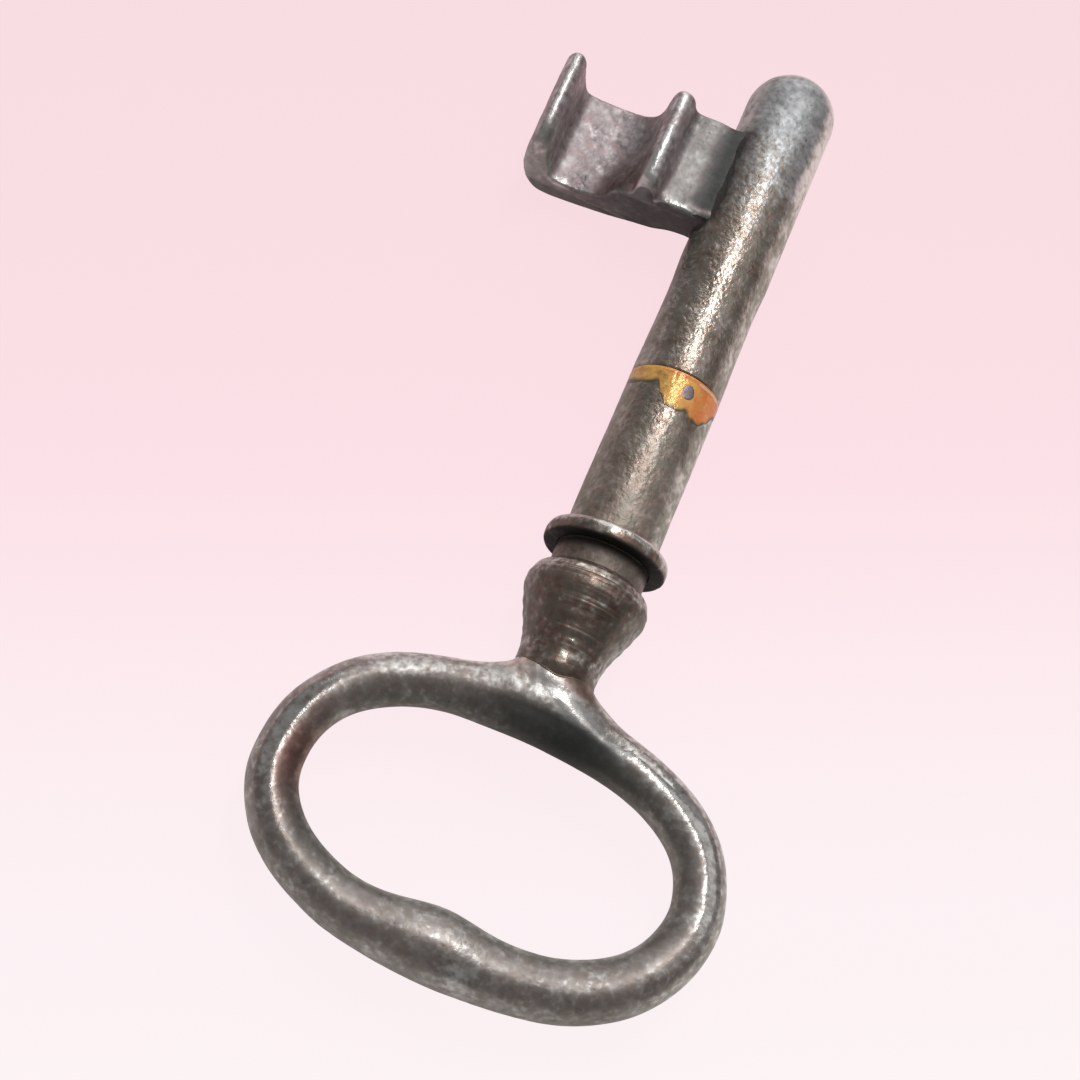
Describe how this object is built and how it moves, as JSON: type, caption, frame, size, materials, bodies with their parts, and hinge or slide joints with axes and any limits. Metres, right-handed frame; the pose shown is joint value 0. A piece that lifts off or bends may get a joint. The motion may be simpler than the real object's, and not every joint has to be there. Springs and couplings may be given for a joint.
{
  "type": "door key",
  "caption": "Old warded door key: oval bow, turned baluster and collar, round brazed shank with a solid domed tip, and a filed bit with a rib and an end flange.",
  "frame": {"origin": "on the shank's axis in the plane of the bit's far end, where the plain pilot of the tip begins", "axes": "+Y along the shank towards the tip, -X towards the bit, +Z square to the plane of the bow, on the side of the bit's rib and flange"},
  "size_m": [0.0533, 0.1178, 0.0144],
  "materials": {
    "forged_bow": "hammered wrought steel with a brown-grey patina, worn bright along the crest of the bar",
    "turned_steel": "turned steel with fine tool rings under a dark brown patina",
    "shank_steel": "drawn and filed round bar, pitted brown-grey patina, rubbed bright along the top",
    "bit_steel": "filed steel, cool grey with lilac staining in the hollows and bright edges",
    "pin_steel": "bare steel pin filed flush, dull grey",
    "seam_braze": "copper-orange brazing metal filed flush, yellow-green where it thins out",
    "root_braze": "old brazing metal, dark golden brown and worn down"
  },
  "bodies": {
    "root": {"bow": "forged_bow", "bow_braze": "root_braze", "baluster": "turned_steel", "collar": "turned_steel", "rear_shank": "shank_steel", "shank_braze": "seam_braze", "cross_pin": "pin_steel", "front_shank": "shank_steel", "bit": "bit_steel", "bit_braze": "root_braze"}
  },
  "joints": []
}
